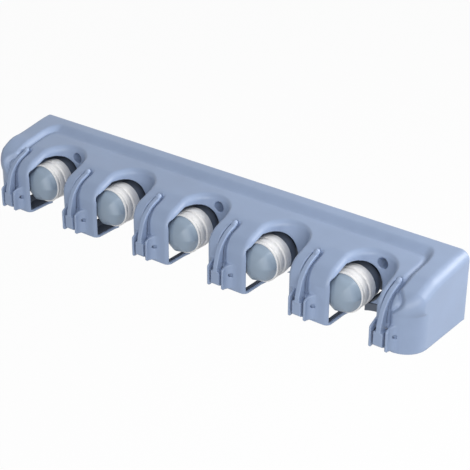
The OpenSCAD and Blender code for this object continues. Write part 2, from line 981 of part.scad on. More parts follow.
// Spindle of a roller, with the collars that hold it in its track
module roller_spindle(i) {
    x = roller_x(i);
    back_collar_y = plate_back_y + side_gap;
    color([0.72, 0.73, 0.75]) {
        bar_y(x, roller_h, spindle_d / 2, roller_front_y - dome_len / 2 + side_gap, front_collar_y + eps);
        bar_y(x, roller_h, collar_d / 2, front_collar_y, front_collar_y + collar_t);
        bar_y(x, roller_h, track_pin_d / 2, front_collar_y + collar_t - eps, back_collar_y + eps);
        bar_y(x, roller_h, collar_d / 2, back_collar_y, back_collar_y + collar_t);
    }
}

// Brings the middle screw hole to the origin
module placed() {
    translate([0, 0, -screw_h])
        children();
}

placed() housing();
placed() back_plate();
placed() plate_screws();
for (i = [0:stations]) {
    placed() hook(i);
    placed() hook_pin(i);
}
for (i = [0:stations - 1]) {
    placed() roller_cap(i);
    placed() roller_grip(i);
    placed() roller_drum(i);
    placed() roller_spindle(i);
}
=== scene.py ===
"""Looks of a wall rack for mops and brooms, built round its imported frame.

The moulded pieces are drawn as smooth distance fields, in millimetres in the rack's own
coordinates: X to the right, Y from the front (negative) to the wall (0), Z up from the
rack's lower edge. Their surfaces are then meshed and moved into the frame, in metres.
"""
import json
import math

import bmesh
import bpy
import numpy as np
from mathutils import Matrix, Vector


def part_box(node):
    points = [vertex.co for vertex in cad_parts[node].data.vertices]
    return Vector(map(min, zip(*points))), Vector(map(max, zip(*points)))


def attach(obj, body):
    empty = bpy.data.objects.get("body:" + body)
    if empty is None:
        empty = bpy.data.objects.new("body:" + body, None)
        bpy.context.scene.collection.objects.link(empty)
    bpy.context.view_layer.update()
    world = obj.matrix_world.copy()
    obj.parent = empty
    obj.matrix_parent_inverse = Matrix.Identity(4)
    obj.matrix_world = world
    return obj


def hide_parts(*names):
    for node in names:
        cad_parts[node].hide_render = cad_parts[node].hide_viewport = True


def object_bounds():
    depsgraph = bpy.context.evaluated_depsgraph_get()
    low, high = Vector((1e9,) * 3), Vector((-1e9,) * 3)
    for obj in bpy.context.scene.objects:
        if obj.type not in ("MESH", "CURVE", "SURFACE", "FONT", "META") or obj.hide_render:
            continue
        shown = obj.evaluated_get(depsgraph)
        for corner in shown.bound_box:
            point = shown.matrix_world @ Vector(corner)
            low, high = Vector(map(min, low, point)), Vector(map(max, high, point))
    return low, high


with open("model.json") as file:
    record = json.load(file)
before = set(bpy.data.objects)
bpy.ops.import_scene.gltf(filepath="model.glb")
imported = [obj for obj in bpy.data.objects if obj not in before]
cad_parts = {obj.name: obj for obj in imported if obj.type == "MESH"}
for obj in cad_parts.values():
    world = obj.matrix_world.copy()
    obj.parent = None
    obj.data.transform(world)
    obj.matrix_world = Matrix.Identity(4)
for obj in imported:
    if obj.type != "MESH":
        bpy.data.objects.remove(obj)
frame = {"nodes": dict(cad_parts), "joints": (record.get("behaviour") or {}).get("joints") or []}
cad_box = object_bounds()
nodes = frame["nodes"]

MM = 0.001

# Places that come from the frame, in millimetres
SCREW_H = 42.3
hook_joints = [j for j in frame["joints"] if j["name"].startswith("hook_fold")]
roller_joints = [j for j in frame["joints"] if j["name"].startswith("roller_spin")]
HOOK_X = [j["pos_m"][0] / MM for j in hook_joints]
PIN_Y = hook_joints[0]["pos_m"][1] / MM
PIN_H = hook_joints[0]["pos_m"][2] / MM + SCREW_H
ROLLER_X = [j["pos_m"][0] / MM for j in roller_joints]
ROLLER_H = roller_joints[0]["pos_m"][2] / MM + SCREW_H
box_low, box_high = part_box("housing")
LEFT_X = box_low.x / MM
RIGHT_X = box_high.x / MM

# Sizes of the moulding, in millimetres
BODY_H = 56.6
FRONT_Y = -70.8
WALL = 2.2
BEND_R = 15.0
HOOD_ANGLE = math.radians(19.2)
KNEE = (-46.0, 49.5)
PANEL_BACK = (-12.5, 53.5)
KNEE_R = 22.0
CAP_LIFT = 2.4
CAP_PROUD = 1.0
CAP_SLOPE_W = 4.5
RIM_SLOPE_W = 8.5
RIM_FOOT_Y = -16.5
VALLEY_DIP = 1.3
VALLEY_DIP_AT = 0.6
VALLEY_DIP_W = 1.7
CAP_DRIFT = 7.0
VALLEY_CORNER_R = 7.0
LEFT_CAP_W = 19.5
RIGHT_CAP_W = 22.0
LEFT_LEAN = 4.0
RIGHT_LEAN = 0.5
PLAN_R = 18.0
LEFT_PLAN_R = 15.0
LEFT_SWELL = 1.8
LEFT_SWELL_Y = -53.0
LEFT_SWELL_W = 9.0
LEFT_EDGE_R = 3.0
RIGHT_EDGE_R = 8.0
LEAN_LIMIT = 1.4
RIM_EDGE_R = 1.2
WALL_EDGE_R = 0.6
LOW_EDGE_R = 0.5
THIN_EDGE_R = 0.4

# Notches, windows and screw holes
ROLLER_BACK = 17.1
STATION_X = [x + ROLLER_BACK for x in ROLLER_X]
NOTCH_R = 19.3
NOTCH_BACK = 31.2
NOTCH_Y = -(NOTCH_BACK + NOTCH_R)
SILL = 2.2
WINDOW_FRONT = 2.4
WINDOW_STRIP = 5.2
WINDOW_CORNER_R = 4.0
HOLE_R = 19.45
HOLE_DX = 19.03
HOLE_Z = 23.32
RELIEF_H = 7.0
RELIEF_REACH = 11.5
RELIEF_R = 2.0
SILL_END = 6.0
OVERCUT = 3.0
NOTCH_EDGE_R = 2.6
NOTCH_EDGE_SWELL = 2.2
NOTCH_ROOM_R = 1.5
GRIP_FRONT = -55.0
SCREW_EVERY = 2
HEAD_HOLE_R = 4.4
SCREW_HOLE_R = 2.3
TUBE_R = 6.2
TUBE_FLOOR = 4.0
POST_H = 11.4
POST_R = 3.5
POST_END = -8.0
POST_BORE_R = 1.52
POST_BORE_RUN = 4.0
OUTSIDE = 50.0

# Dark blocks by the back plate's wide ledges that paint shade into the view through the first windows
LEDGE_GAP = 0.3
LEDGE_W = 11.6
LEDGE_T = 1.4
LEDGE_LOW = 0.6
LEDGE_FRONT = FRONT_Y + 4.8
LEDGE_BACK = -2.4
SHADE_BLOCK_H = 8.0
SHADE_BLOCK_INSET = 0.8
SHADE_BLOCK_COUNT = 2

# Hooks
EAR_HALF_GAP = 5.8
EAR_T = 1.8
EAR_FRONT = FRONT_Y - 7.8
EAR_H = 19.9
EAR_LOW = 2.1
EAR_CORNER = 1.2
EAR_RISE = 3.0
RIGHT_FLARE_R = 6.0
LEFT_FLARE_R = 4.5
PIN_R = 1.52
GROOVE_HALF = 3.2
GROOVE_DEPTH = 2.8
GROOVE_WALL = 1.4
GROOVE_R = 1.6
FLANK_R = 1.0
FLANK_SWELL = 1.8
KNOB_Y = -53.5
KNOB_R = 2.3
KNOB_LIFT = 0.5
SLOT_LOW = 2.42
SLOT_TOP = 16.6
ROOT_HALF = 3.8
ROOT_LOW = 4.3
ROOT_TOP = 16.6
BOSS_R = 2.9
ROOT_FRONT = FRONT_Y - 7.9
ROOT_BACK = FRONT_Y - 0.3
ARM_HALF = 2.0
ARM_END = KNOB_Y - KNOB_R / 4
ARM_OUT = 7.5
ARM_OUT_BEND = 4.7
ARM_PROUD = 0.8
ARM_SUNK = 2.0
ARM_OUT_TURN = 55.0
ARM_SINK_TURN = 38.0
ROOT_R = 2.6
HOOK_RUN = 0.04
HOOK_TOP = 52.0
HOOK_STEP = 0.34

HOOD_TURN = math.pi / 2 - HOOD_ANGLE
BEND_Y = FRONT_Y + BEND_R


def hood_z(y, inset=0.0):
    """Height of the hood's line at depth y, lowered by inset square to the hood."""
    return KNEE[1] + (y - KNEE[0]) * math.tan(HOOD_ANGLE) - inset / math.cos(HOOD_ANGLE)


BEND_Z = hood_z(BEND_Y) - BEND_R / math.cos(HOOD_ANGLE)


# Distance fields: negative inside the solid, in millimetres

def both(a, b, r=0.0):
    """Where two solids overlap; the edge between them has radius r."""
    if np.isscalar(r) and r == 0:
        return np.maximum(a, b)
    u = np.maximum(a + r, 0)
    v = np.maximum(b + r, 0)
    return np.minimum(np.maximum(a, b), -r) + np.sqrt(u * u + v * v)


def either(a, b, r=0.0):
    """Two solids together; the corner between them has radius r."""
    return -both(-a, -b, r)


def without(a, b, r=0.0):
    """The first solid less the second; the edge between them has radius r."""
    return both(a, -b, r)


def polygon_field(points, u, v):
    """Signed distance from the outline through points to the places u, v."""
    best = np.full(np.broadcast(u, v).shape, 1e9, np.float32)
    inside = np.zeros(best.shape, bool)
    for (x0, y0), (x1, y1) in zip(points, points[1:] + points[:1]):
        dx, dy = x1 - x0, y1 - y0
        t = np.clip(((u - x0) * dx + (v - y0) * dy) / (dx * dx + dy * dy + 1e-12), 0, 1)
        best = np.minimum(best, (u - x0 - t * dx) ** 2 + (v - y0 - t * dy) ** 2)
        if dy:
            crosses = (y0 > v) != (y1 > v)
            inside ^= crosses & (u < x0 + (v - y0) * dx / dy)
    return np.where(inside, -1, 1) * np.sqrt(best).astype(np.float32)


def arc_points(cy, cz, r, a0, a1, steps):
    """Points on an arc round (cy, cz); angle 0 looks forwards, a quarter turn looks up."""
    angles = [a0 + (a1 - a0) * k / steps for k in range(steps + 1)]
    return [(cy - r * math.cos(a), cz + r * math.sin(a)) for a in angles]


def panel_outline():
    """Side outline of the hood and panel, without the raised rim and ends."""
    far = 40.0
    slope = (PANEL_BACK[1] - KNEE[1]) / (PANEL_BACK[0] - KNEE[0])
    panel_turn = math.pi / 2 - math.atan(slope)
    reach = KNEE_R * math.tan((panel_turn - HOOD_TURN) / 2)
    start_y = KNEE[0] - reach * math.cos(HOOD_ANGLE)
    start_z = KNEE[1] - reach * math.sin(HOOD_ANGLE)
    knee_y = start_y + KNEE_R * math.sin(HOOD_ANGLE)
    knee_z = start_z - KNEE_R * math.cos(HOOD_ANGLE)
    return (
        [(far, -far), (FRONT_Y, -far)]
        + arc_points(BEND_Y, BEND_Z, BEND_R, 0, HOOD_TURN, 40)
        + arc_points(knee_y, knee_z, KNEE_R, HOOD_TURN, panel_turn, 12)
        + [(far, PANEL_BACK[1] + slope * (far - PANEL_BACK[0]))]
    )


def smooth_step(t):
    """Rises softly from 0 to 1 as t does."""
    t = np.clip(t, 0, 1)
    return t * t * (3 - 2 * t)


class Grid:
    """A box of evenly spaced points, x first, that a field is worked out on."""

    def __init__(self, low, high, step):
        self.low = np.array(low, np.float32)
        self.step = step
        counts = [int(math.ceil((b - a) / step)) + 1 for a, b in zip(low, high)]
        axes = [low[k] + step * np.arange(counts[k], dtype=np.float32) for k in range(3)]
        self.x = axes[0][:, None, None]
        self.y = axes[1][None, :, None]
        self.z = axes[2][None, None, :]

    def between(self, x0, x1):
        """The slice of points with x from x0 to x1."""
        i0 = max(0, int((x0 - self.low[0]) / self.step))
        i1 = min(len(self.x), int((x1 - self.low[0]) / self.step) + 2)
        return slice(i0, i1)


def field_mesh(name, field, grid):
    """Mesh of the surface where the field is zero, in the frame's metres."""
    f = field
    inside = f < 0
    corner = np.zeros(tuple(n - 1 for n in f.shape), np.uint8)
    shifts = [(i, j, k) for i in (0, 1) for j in (0, 1) for k in (0, 1)]
    for i, j, k in shifts:
        corner += inside[i:f.shape[0] - 1 + i, j:f.shape[1] - 1 + j, k:f.shape[2] - 1 + k]
    cells = np.argwhere((corner > 0) & (corner < 8))
    ids = np.full(corner.shape, -1, np.int32)
    ids[tuple(cells.T)] = np.arange(len(cells))
    total = np.zeros((len(cells), 3), np.float32)
    count = np.zeros((len(cells), 1), np.float32)
    for a in range(3):
        for j in (0, 1):
            for k in (0, 1):
                p0 = np.zeros(3, int)
                p0[(a + 1) % 3] = j
                p0[(a + 2) % 3] = k
                p1 = p0.copy()
                p1[a] = 1
                f0 = f[tuple((cells + p0).T)]
                f1 = f[tuple((cells + p1).T)]
                cut = (f0 < 0) != (f1 < 0)
                t = np.where(cut, f0 / np.where(cut, f0 - f1, 1), 0)
                place = np.tile(p0.astype(np.float32), (len(cells), 1))
                place[:, a] = t
                total += place * cut[:, None]
                count += cut[:, None]
    points = (cells + total / count) * grid.step + grid.low
    quads = []
    for a in range(3):
        b, c = (a + 1) % 3, (a + 2) % 3
        s0 = [slice(1, -1)] * 3
        s0[a] = slice(0, -1)
        s1 = [slice(1, -1)] * 3
        s1[a] = slice(1, None)
        here = inside[tuple(s0)]
        there = inside[tuple(s1)]
        for flip, where in ((False, here & ~there), (True, ~here & there)):
            base = np.argwhere(where)
            base[:, b] += 1
            base[:, c] += 1
            ring = []
            for db, dc in ((-1, -1), (0, -1), (0, 0), (-1, 0)):
                p = base.copy()
                p[:, b] += db
                p[:, c] += dc
                ring.append(ids[tuple(p.T)])
            quad = np.stack(ring, 1)
            quads.append(quad[:, ::-1] if flip else quad)
    faces = np.concatenate(quads)
    mesh = bpy.data.meshes.new(name)
    mesh.vertices.add(len(points))
    mesh.vertices.foreach_set("co", to_frame(points).ravel())
    mesh.loops.add(faces.size)
    mesh.loops.foreach_set("vertex_index", faces.ravel())
    mesh.polygons.add(len(faces))
    mesh.polygons.foreach_set("loop_start", np.arange(0, faces.size, 4))
    mesh.update()
    mesh.validate()
    return mesh


def to_frame(points):
    """Rack coordinates in millimetres to the frame's metres."""
    return ((points - np.array([0, 0, SCREW_H])) * MM).astype(np.float32)


def field_normals(mesh, field, grid):
    """Gives the mesh the field's own smooth normals."""
    co = np.zeros(len(mesh.vertices) * 3, np.float32)
    mesh.vertices.foreach_get("co", co)
    places = (co.reshape(-1, 3) / MM + np.array([0, 0, SCREW_H]) - grid.low) / grid.step
    slopes = []
    for a in range(3):
        ahead, behind = places.copy(), places.copy()
        ahead[:, a] += 0.7
        behind[:, a] -= 0.7
        slopes.append(sample(field, ahead) - sample(field, behind))
    normals = np.stack(slopes, 1)
    normals /= np.maximum(np.linalg.norm(normals, axis=1), 1e-9)[:, None]
    mesh.polygons.foreach_set("use_smooth", np.ones(len(mesh.polygons), bool))
    mesh.normals_split_custom_set_from_vertices(normals)


def sample(field, places):
    """The field between its grid points."""
    top = np.array(field.shape) - 2
    cell = np.clip(np.floor(places).astype(int), 0, top)
    t = np.clip(places - cell, 0, 1)
    value = 0
    for i in (0, 1):
        for j in (0, 1):
            for k in (0, 1):
                weight = (t[:, 0] if i else 1 - t[:, 0])
                weight = weight * (t[:, 1] if j else 1 - t[:, 1])
                weight = weight * (t[:, 2] if k else 1 - t[:, 2])
                value = value + weight * field[cell[:, 0] + i, cell[:, 1] + j, cell[:, 2] + k]
    return value


def field_piece(name, field, grid, keep):
    """A finished piece from a field; keep is the share of its faces that stays."""
    piece = bpy.data.objects.new(name, field_mesh(name, field, grid))
    bpy.context.scene.collection.objects.link(piece)
    if keep < 1:
        thin = piece.modifiers.new("thin", "DECIMATE")
        thin.ratio = keep
        bpy.context.view_layer.objects.active = piece
        apply_modifier(piece, "thin")
    field_normals(piece.data, field, grid)
    return piece


def apply_modifier(piece, name):
    """Bakes one modifier into the piece's mesh."""
    with bpy.context.temp_override(object=piece, active_object=piece):
        bpy.ops.object.modifier_apply(modifier=name)


# The housing

def housing_field(g):
    """The one-piece moulding: rim, hood, raised ends, notches, windows, ears and screw tubes."""
    x, y, z = g.x, g.y, g.z
    panel = polygon_field(panel_outline(), g.y[0], g.z[0])[None]
    turn = np.clip(np.arctan2(z - BEND_Z, BEND_Y - y), 0, HOOD_TURN)
    part = turn / HOOD_TURN
    drift = CAP_DRIFT * np.sin(math.pi * part)
    lift_full = CAP_PROUD + (CAP_LIFT - CAP_PROUD) * part
    right_end = RIGHT_X - RIGHT_LEAN * np.clip(-y / (-FRONT_Y - PLAN_R), 0, LEAN_LIMIT)
    left_end = LEFT_X + LEFT_LEAN * np.clip(-y / (-FRONT_Y - PLAN_R), 0, LEAN_LIMIT)
    into_right = x - (right_end - RIGHT_CAP_W + drift)
    into_left = (left_end + LEFT_CAP_W - drift) - x
    into_rim = (y - RIM_FOOT_Y) * CAP_SLOPE_W / RIM_SLOPE_W
    into_ends = np.maximum(into_right, into_left)
    raised = both(into_ends, into_rim + 0 * z, VALLEY_CORNER_R)
    lift = lift_full * smooth_step(raised / CAP_SLOPE_W)
    dip = VALLEY_DIP * np.exp(-((raised + VALLEY_DIP_AT) / VALLEY_DIP_W) ** 2)
    swell = LEFT_SWELL * np.exp(-((y - LEFT_SWELL_Y) / LEFT_SWELL_W) ** 2)
    swell = swell * smooth_step(into_left / LEFT_CAP_W)
    outer = panel - lift + dip - swell
    outer = both(outer, z - BODY_H, RIM_EDGE_R)
    outer = both(outer, x - right_end, PLAN_R + (RIGHT_EDGE_R - PLAN_R) * part)
    outer = both(outer, left_end - x, LEFT_PLAN_R + (LEFT_EDGE_R - LEFT_PLAN_R) * part)
    outer = both(outer, y, WALL_EDGE_R)
    room = panel + WALL + dip
    room = both(room, x - right_end + WALL, PLAN_R - WALL + (RIGHT_EDGE_R - PLAN_R) * part)
    room = both(room, left_end - x + WALL,
                LEFT_PLAN_R - WALL + (LEFT_EDGE_R - LEFT_PLAN_R) * part)
    for i, station in enumerate(STATION_X):
        s = g.between(station - NOTCH_R - 14, station + NOTCH_R + 14)
        dx = g.x[s] - station
        notch = np.hypot(dx, np.maximum(y - NOTCH_Y, 0)) - NOTCH_R
        side = smooth_step(0.5 - dx / (2 * NOTCH_R))
        edge_r = NOTCH_EDGE_R + NOTCH_EDGE_SWELL * side
        outer[s] = without(outer[s], notch, edge_r)
        room[s] = without(room[s], notch - WALL, NOTCH_ROOM_R)
        post = np.maximum(np.hypot(dx, z - POST_H) - POST_R, y - POST_END)
        room[s] = without(room[s], post, 0.5)
        if i % SCREW_EVERY == 0:
            tube = np.hypot(dx, z - SCREW_H) - TUBE_R + 0 * y
            room[s] = without(room[s], tube, 1.0)
    for hook in HOOK_X:
        s = g.between(hook - GROOVE_HALF - 6, hook + GROOVE_HALF + 6)
        room[s] = without(room[s], groove_field(g, s, hook, panel, GROOVE_WALL), 1.0)
        flank_r = FLANK_R + FLANK_SWELL * smooth_step((g.x[s] - hook) / 3)
        outer[s] = without(outer[s], groove_field(g, s, hook, panel, 0), flank_r)
    outer = both(outer, -z, LOW_EDGE_R)
    body = without(outer, room, THIN_EDGE_R)
    del outer, room
    opening_end = -NOTCH_BACK + WALL + OVERCUT
    for i, station in enumerate(STATION_X):
        s = g.between(station - NOTCH_R - 22, station + NOTCH_R)
        body[s] = without(body[s], window_field(g, s, station), 0.5)
        dx = g.x[s] - station
        middle = (RELIEF_REACH - NOTCH_R - WALL) / 2
        relief = both(np.abs(dx - middle) - RELIEF_REACH + middle, z - RELIEF_H, RELIEF_R)
        relief = np.maximum(relief, np.maximum(NOTCH_Y + SILL_END - y, y - opening_end))
        body[s] = without(body[s], relief, THIN_EDGE_R)
        if i % SCREW_EVERY == 0:
            ring = np.hypot(dx, z - SCREW_H)
            bore = np.maximum(ring - HEAD_HOLE_R, y + TUBE_FLOOR)
            bore = np.minimum(bore, ring - SCREW_HOLE_R)
            body[s] = without(body[s], bore, THIN_EDGE_R)
        post_bore = np.hypot(dx, z - POST_H) - POST_BORE_R
        body[s] = without(body[s], post_bore + OUTSIDE * (y < -NOTCH_BACK + POST_BORE_RUN))
    for k, hook in enumerate(HOOK_X):
        s = g.between(hook - 16, hook + 20)
        dx = g.x[s] - hook
        ears = ear_field(g, s, k)
        body[s] = either(body[s], ears, 0.5)
        slot = np.maximum(np.abs(dx) - EAR_HALF_GAP, np.abs(y - FRONT_Y) - WALL - 1.5)
        slot = np.maximum(slot, np.abs(z - (SLOT_LOW + SLOT_TOP) / 2) - (SLOT_TOP - SLOT_LOW) / 2)
        body[s] = without(body[s], slot, 0.3)
        far = EAR_HALF_GAP + EAR_T
        reach_right = far + flare_exit(flare_radius(k, 1))
        reach_left = far + flare_exit(flare_radius(k, -1))
        pin = np.hypot(y - PIN_Y, z - PIN_H) - PIN_R
        pin = np.maximum(pin, np.maximum(dx - reach_right, -dx - reach_left))
        body[s] = without(body[s], pin, 0.2)
    return body


def groove_field(g, s, hook, panel, grow):
    """The channel that a folded hook lies in, grown by grow."""
    plan = np.hypot(g.x[s] - hook, np.maximum(g.y - KNOB_Y, 0)) - GROOVE_HALF - grow
    deep = -(panel + GROOVE_DEPTH + grow)
    channel = both(plan, deep, GROOVE_R + grow)
    return both(channel, EAR_H - grow - g.z, 1.0)


def window_field(g, s, station):
    """The window in the wall beside a notch, with its round part in the notch's back."""
    front = FRONT_Y + WINDOW_FRONT
    top = HOLE_Z + HOLE_R
    arc_y = front + WINDOW_CORNER_R
    arc_z = hood_z(arc_y) - WINDOW_STRIP - WINDOW_CORNER_R / math.cos(HOOD_ANGLE)
    level_y = KNEE[0] + (top + WINDOW_STRIP - KNEE[1]) / math.tan(HOOD_ANGLE)
    back = NOTCH_Y + OVERCUT
    outline = ([(back, SILL), (front, SILL)]
               + arc_points(arc_y, arc_z, WINDOW_CORNER_R, 0, HOOD_TURN, 10)
               + [(level_y, top), (back, top)])
    flat = polygon_field(outline, g.y[0], g.z[0])[None]
    low = station - NOTCH_R - WALL - OVERCUT
    high = station - HOLE_DX + 0.6
    window = np.maximum(flat, np.maximum(low - g.x[s], g.x[s] - high))
    hole = np.hypot(g.x[s] - station + HOLE_DX, g.z - HOLE_Z) - HOLE_R
    hole = np.maximum(hole, np.maximum(level_y - g.y, g.y + NOTCH_BACK - WALL - OVERCUT))
    return either(window, hole, 0.8)


def flare_exit(r):
    """How far from an ear's face the pin's axis comes out of a flare of radius r."""
    out = FRONT_Y - PIN_Y
    return r - math.sqrt(r * r - (r - out) ** 2) if r > 1 else 1.0


def flare_radius(k, side):
    """Radius of the flare on one side of hook k, limited by its finger."""
    out = EAR_HALF_GAP + EAR_T
    if side > 0:
        if k == len(STATION_X):
            return RIGHT_FLARE_R
        return min(RIGHT_FLARE_R, STATION_X[k] - NOTCH_R - 5.0 - HOOK_X[k] - out)
    if k == 0:
        return LEFT_FLARE_R
    return min(LEFT_FLARE_R, HOOK_X[k] - out - STATION_X[k - 1] - NOTCH_R - 1.5)


def ear_field(g, s, k):
    """Both ears of hook k with their flares into the front."""
    dx = g.x[s] - HOOK_X[k]
    y = g.y
    side_outline = [
        (FRONT_Y + 1.2, EAR_LOW), (EAR_FRONT + EAR_CORNER, EAR_LOW),
        (EAR_FRONT, EAR_LOW + EAR_CORNER), (EAR_FRONT, EAR_H - EAR_CORNER),
        (EAR_FRONT + EAR_CORNER, EAR_H), (FRONT_Y, EAR_H + EAR_RISE),
        (FRONT_Y + 1.2, EAR_H + EAR_RISE),
    ]
    side = polygon_field(side_outline, g.y[0], g.z[0])[None]
    plates = np.abs(np.abs(dx) - EAR_HALF_GAP - EAR_T / 2) - EAR_T / 2
    plan = plates + 0 * y
    for sign in (-1, 1):
        r = flare_radius(k, sign)
        if r < 1:
            continue
        out = sign * dx - EAR_HALF_GAP - EAR_T
        ahead = FRONT_Y - y
        fillet = r - np.hypot(np.maximum(r - out, 0), np.maximum(r - ahead, 0))
        fillet = np.maximum(fillet, -out - EAR_T)
        plan = np.minimum(plan, np.maximum(fillet, out - r))
    first_notch = STATION_X[k - 1] + NOTCH_R if k > 0 else LEFT_X
    plan = np.maximum(plan, first_notch - g.x[s])
    return both(plan, side, 0.45)


# Hooks

def bend_point(a, r):
    """Point at distance r from the bend's centre, where its normal has turned by a."""
    return (BEND_Y - r * math.cos(a), BEND_Z + r * math.sin(a))


def arm_front(a):
    """How far the arm stands out where the bend's normal has turned by a."""
    return ARM_PROUD + (ARM_OUT_BEND - ARM_PROUD) * max(0, 1 - math.degrees(a) / ARM_OUT_TURN) ** 1.7


def arm_back(a):
    """How far the arm is sunk where the bend's normal has turned by a."""
    return ARM_SUNK * (0.3 + 0.7 * min(1, math.degrees(a) / ARM_SINK_TURN))


def arm_outline():
    """Side outline of a hook's arm, from the root block to the knob."""
    angles = [HOOD_TURN * k / 24 for k in range(25)]
    front = [bend_point(a, BEND_R + arm_front(a)) for a in angles]
    return (
        [(ROOT_BACK, ROOT_TOP - 1), (ROOT_BACK, EAR_H + GROOVE_DEPTH)]
        + [bend_point(a, BEND_R - arm_back(a)) for a in angles]
        + [(ARM_END, hood_z(ARM_END, ARM_SUNK)), (ARM_END, hood_z(ARM_END, -ARM_PROUD))]
        + front[::-1]
        + [(FRONT_Y - ARM_OUT, ROOT_TOP + ARM_OUT / 2), (ROOT_FRONT, ROOT_TOP - 1)]
    )


def hook_field(g):
    """One fold-down hook, centred on X, folded up against the front."""
    x, y, z = g.x, g.y[0], g.z[0]
    arm = polygon_field(arm_outline(), y, z)[None]
    arm = both(arm, np.abs(x) - ARM_HALF, 0.7)
    root_outline = ([(ROOT_BACK, ROOT_LOW), (ROOT_BACK, ROOT_TOP), (ROOT_FRONT, ROOT_TOP)]
                    + arc_points(ROOT_FRONT + ROOT_R, ROOT_LOW + ROOT_R, ROOT_R, 0, -math.pi / 2, 8))
    root = polygon_field(root_outline, y, z)[None]
    root = both(root, np.abs(x) - ROOT_HALF, 0.5)
    boss = np.maximum(np.hypot(g.y - PIN_Y, g.z - PIN_H) - BOSS_R, np.abs(x) - ROOT_HALF)
    hook = either(arm, either(root, boss, 0.3), 0.8)
    ball_z = hood_z(KNOB_Y, -KNOB_LIFT)
    ball = np.sqrt(x ** 2 + (g.y - KNOB_Y) ** 2 + (g.z - ball_z) ** 2) - KNOB_R
    hook = either(hook, ball, 1.2)
    bore = np.hypot(g.y - PIN_Y, g.z - PIN_H) - PIN_R - HOOK_RUN
    return without(hook, bore, 0.2)


# Rollers

def lathe(name, outline, x, y0, z, segments=96, flats=0, flat_share=0.0):
    """A round piece about a line along Y; outline is (radius, distance behind y0).

    With flats above 0 the outside in front of y0 is flattened a little that many times round.
    """
    count = len(outline)
    angles = 2 * math.pi * np.arange(segments) / segments
    r = np.array([p[0] for p in outline])
    d = np.array([p[1] for p in outline])
    flat = np.zeros(segments)
    if flats:
        half = math.pi / flats
        flat = flat_share * (1 - math.cos(half) / np.cos(np.mod(angles, 2 * half) - half))
    ahead = np.clip(-d / 3, 0, 1) * (r > SPINDLE_R)
    shrink = 1 - np.outer(flat, ahead)
    points = np.stack([
        x + np.cos(angles)[:, None] * r * shrink,
        np.tile(y0 + d, (segments, 1)),
        z + np.sin(angles)[:, None] * r * shrink,
    ], 2).reshape(-1, 3)
    faces = []
    for a in range(segments):
        b = (a + 1) % segments
        for k in range(count):
            m = (k + 1) % count
            faces.append((a * count + k, b * count + k, b * count + m, a * count + m))
    mesh = bpy.data.meshes.new(name)
    mesh.from_pydata(to_frame(points).tolist(), [], faces)
    clean_mesh(mesh)
    piece = bpy.data.objects.new(name, mesh)
    bpy.context.scene.collection.objects.link(piece)
    return piece


def clean_mesh(mesh):
    """Joins points that lie together, turns faces outwards and shades them smooth."""
    bm = bmesh.new()
    bm.from_mesh(mesh)
    bmesh.ops.remove_doubles(bm, verts=bm.verts, dist=1e-6)
    bmesh.ops.dissolve_degenerate(bm, edges=bm.edges, dist=1e-7)
    bmesh.ops.recalc_face_normals(bm, faces=bm.faces)
    for face in bm.faces:
        face.smooth = True
    for edge in bm.edges:
        if len(edge.link_faces) == 2 and edge.calc_face_angle(0) > math.radians(38):
            edge.smooth = False
    bm.to_mesh(mesh)
    bm.free()


def rounded(corners, r, steps=5):
    """A closed outline with each of its corners rounded to radius r."""
    out = []
    n = len(corners)
    for i in range(n):
        p = np.array(corners[i], float)
        a = np.array(corners[i - 1], float) - p
        b = np.array(corners[(i + 1) % n], float) - p
        la, lb = np.linalg.norm(a), np.linalg.norm(b)
        a, b = a / la, b / lb
        half = math.acos(np.clip(a @ b, -1, 1)) / 2
        own = min(r, 0.45 * min(la, lb) * math.tan(half))
        if own < 0.02 or half > math.radians(87):
            out.append(tuple(p))
            continue
        start = p + a * own / math.tan(half)
        end = p + b * own / math.tan(half)
        middle = p + (a + b) / np.linalg.norm(a + b) * own / math.sin(half)
        u, v = start - middle, end - middle
        span = math.acos(np.clip(u @ v / (own * own), -1, 1))
        for k in range(steps + 1):
            t = k / steps
            w = (math.sin((1 - t) * span) * u + math.sin(t * span) * v) / math.sin(span)
            out.append(tuple(middle + w))
    return out


DOME_R = 15.2
DOME_LEN = 11.4
DOME_POWER = 2.4
GRIP_R = 16.35
GRIP_LEN = 18.2
GRIP_T = 2.9
SPINDLE_R = 3.06
DRUM_END = -24.25
CAP_FLATS = 7
CAP_FLAT_SHARE = 0.8


def dome_outline():
    """Half section of a roller's domed cap, bored for its spindle."""
    steps = 28
    edge = []
    for k in range(steps + 1):
        t = math.sin(math.pi / 2 * k / steps)
        edge.append((DOME_R * (1 - t ** DOME_POWER) ** (1 / DOME_POWER), -DOME_LEN * t))
    bore = 0.45 * DOME_LEN
    return edge + [(0, -bore), (SPINDLE_R, -bore), (SPINDLE_R, 0)]


def grip_outline():
    """Half section of the ribbed grip ring."""
    core = GRIP_R - GRIP_T
    r = GRIP_R
    corners = [
        (core, 0.02), (r - 0.1, 0.02), (r, 0.8), (r, 1.7), (r - 0.9, 2.2), (r - 0.95, 3.0),
        (r - 0.35, 3.8), (r - 0.2, 6.2), (r - 0.4, 8.2), (r - 1.15, 8.8), (r - 1.15, 9.7),
        (r - 0.1, 10.6), (r, 13.6), (r - 0.35, 17.6), (r - 0.8, GRIP_LEN), (core, GRIP_LEN),
    ]
    return rounded(corners, 0.6, 4)


def drum_outline():
    """Half section of the core and the drum behind the grip."""
    core = GRIP_R - GRIP_T - 0.02
    end = DRUM_END - GRIP_FRONT
    corners = [
        (SPINDLE_R, 0), (core, 0), (core, GRIP_LEN + 0.02), (DOME_R, GRIP_LEN + 0.02),
        (DOME_R, GRIP_LEN + 0.6 * (end - GRIP_LEN)), (0.62 * DOME_R, end), (SPINDLE_R, end),
    ]
    return rounded(corners, 0.6, 4)


# Materials

